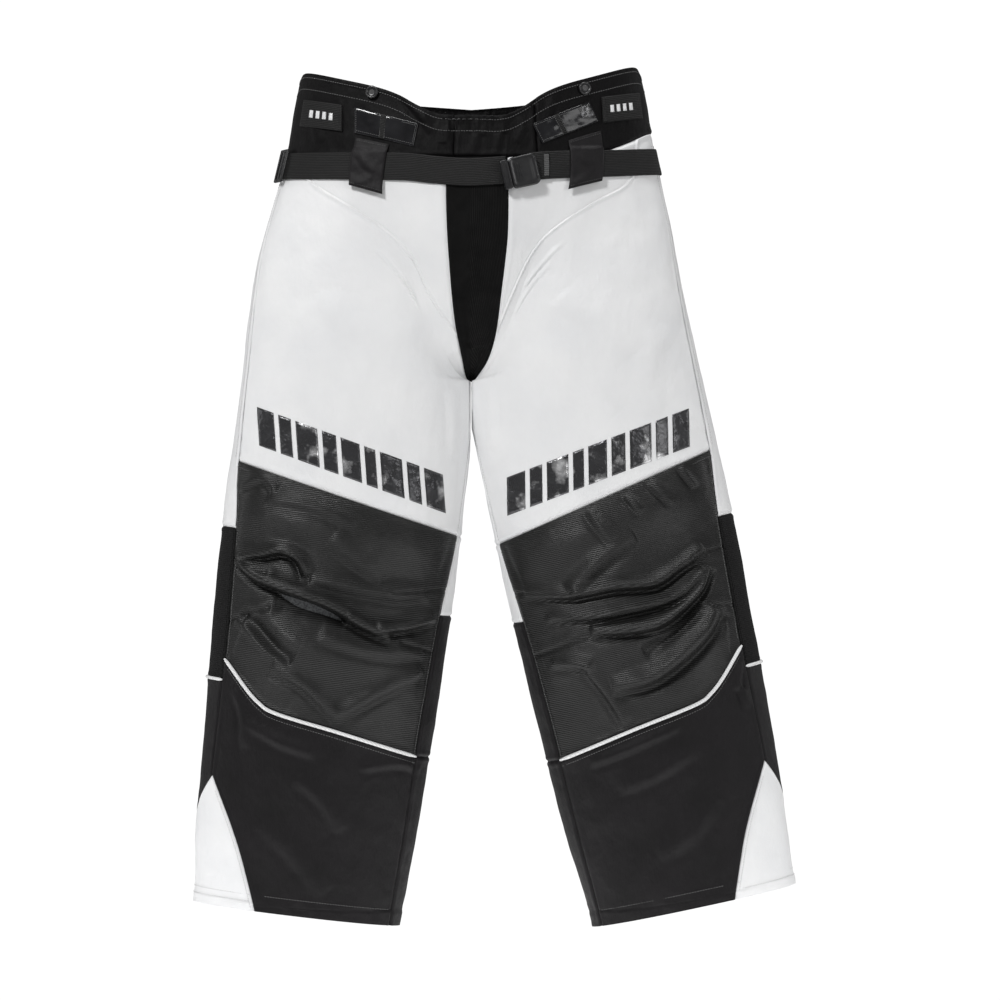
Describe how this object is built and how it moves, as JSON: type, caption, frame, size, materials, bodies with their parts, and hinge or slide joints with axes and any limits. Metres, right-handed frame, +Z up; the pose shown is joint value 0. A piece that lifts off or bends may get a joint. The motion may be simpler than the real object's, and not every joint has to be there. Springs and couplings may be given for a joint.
{
  "type": "goalkeeper hockey pants",
  "caption": "Padded goalkeeper hockey pants with a buckled belt, waist adjusters, ribbed knee covers, side vents and flared hems; both knees bend",
  "frame": {"origin": "middle of the waist opening, level with the front of the waist", "axes": "+Z up along the body, -Y the wearer's front, +X the wearer's left"},
  "size_m": [0.7503, 0.2436, 1.0699],
  "materials": {
    "white_nylon": "smooth woven nylon, soft sheen",
    "black_nylon": "smooth woven nylon, soft sheen",
    "knee_fabric": "ribbed tough cloth, satin",
    "side_mesh": "coarse open mesh, matte",
    "knit": "stretch knit, matte",
    "webbing": "woven strap, matte",
    "gloss_film": "glossy film-faced tape",
    "plastic": "moulded, half gloss",
    "piping": "corded edge",
    "foam": "soft padding in a cover"
  },
  "bodies": {
    "pants": {"right_groin_panel": "white_nylon", "right_thigh_front": "white_nylon", "right_thigh_side": "white_nylon", "right_thigh_back": "white_nylon", "right_thigh_inner": "white_nylon", "right_hip_foam": "foam", "right_back_loop": "webbing", "right_adjuster_band": "webbing", "right_front_button": "plastic", "left_groin_panel": "white_nylon", "left_thigh_front": "white_nylon", "left_thigh_side": "white_nylon", "left_thigh_back": "white_nylon", "left_thigh_inner": "white_nylon", "left_hip_foam": "foam", "left_back_loop": "webbing", "left_adjuster_band": "webbing", "left_front_button": "plastic", "waist_front_elastic": "black_nylon", "waist_front_left": "black_nylon", "waist_back_left": "black_nylon", "waist_back_elastic": "black_nylon", "waist_back_right": "black_nylon", "waist_front_right": "black_nylon", "crotch_panel": "knit", "seat_panel": "knit", "belt": "webbing", "belt_end": "webbing", "belt_slider": "plastic", "buckle_socket": "plastic"},
    "right_shin": {"right_knee_cover": "knee_fabric", "right_knee_foam": "foam", "right_side_vent": "side_mesh", "right_knee_vent": "side_mesh", "right_knee_inner": "black_nylon", "right_knee_piping": "piping", "right_shin_front": "black_nylon", "right_shin_side": "black_nylon", "right_shin_inner": "black_nylon", "right_hem_gusset": "white_nylon", "right_calf_back": "black_nylon"},
    "right_flap": {"right_belt_flap": "black_nylon"},
    "right_tab": {"right_adjuster_tab": "gloss_film"},
    "left_shin": {"left_knee_cover": "knee_fabric", "left_knee_foam": "foam", "left_side_vent": "side_mesh", "left_knee_vent": "side_mesh", "left_knee_inner": "black_nylon", "left_knee_piping": "piping", "left_shin_front": "black_nylon", "left_shin_side": "black_nylon", "left_shin_inner": "black_nylon", "left_hem_gusset": "white_nylon", "left_calf_back": "black_nylon"},
    "left_flap": {"left_belt_flap": "black_nylon"},
    "left_tab": {"left_adjuster_tab": "gloss_film"},
    "plug": {"buckle_plug": "plastic"},
    "prong_upper": {"buckle_prong_upper": "plastic"},
    "prong_lower": {"buckle_prong_lower": "plastic"}
  },
  "joints": [
    {"name": "right_knee", "type": "hinge", "parent": "pants", "child": "right_shin", "pos_m": [-0.17393, 0, -0.63792], "axis": [0.993, 0, -0.1184], "range_deg": [0, 75], "deforming": ["right_knee_cover", "right_side_vent", "right_knee_vent", "right_knee_inner", "right_knee_piping"]},
    {"name": "left_knee", "type": "hinge", "parent": "pants", "child": "left_shin", "pos_m": [0.20033, 0, -0.63355], "axis": [0.9781, 0, 0.2079], "range_deg": [0, 75], "deforming": ["left_knee_cover", "left_side_vent", "left_knee_vent", "left_knee_inner", "left_knee_piping"]},
    {"name": "right_flap_lift", "type": "hinge", "parent": "pants", "child": "right_flap", "pos_m": [-0.13279, -0.08544, -0.04716], "axis": [-0.9443, 0.2778, 0.1765], "range_deg": [0, 60]},
    {"name": "left_flap_lift", "type": "hinge", "parent": "pants", "child": "left_flap", "pos_m": [0.14303, -0.08131, -0.03765], "axis": [-0.8601, -0.3185, -0.3986], "range_deg": [0, 60]},
    {"name": "right_tab_peel", "type": "hinge", "parent": "pants", "child": "right_tab", "pos_m": [-0.14376, -0.07885, -0.02471], "axis": [0.0006, -0.1221, -0.9925], "range_deg": [0, 110]},
    {"name": "left_tab_peel", "type": "hinge", "parent": "pants", "child": "left_tab", "pos_m": [0.15286, -0.07429, -0.0137], "axis": [-0.4498, -0.0525, 0.8916], "range_deg": [0, 110]},
    {"name": "buckle_release", "type": "slide", "parent": "pants", "child": "plug", "axis": [-0.9682, -0.1103, -0.2247], "range_m": [0, 0.026], "deforming": ["belt_end"]},
    {"name": "upper_prong_squeeze", "type": "hinge", "parent": "plug", "child": "prong_upper", "pos_m": [0.04634, -0.10885, -0.08078], "axis": [-0.1028, 0.9937, -0.0447], "range_deg": [0, 8], "stiffness_Nm_per_rad": 0.02},
    {"name": "lower_prong_squeeze", "type": "hinge", "parent": "plug", "child": "prong_lower", "pos_m": [0.05227, -0.10938, -0.10609], "axis": [0.1028, -0.9937, 0.0447], "range_deg": [0, 8], "stiffness_Nm_per_rad": 0.02}
  ]
}
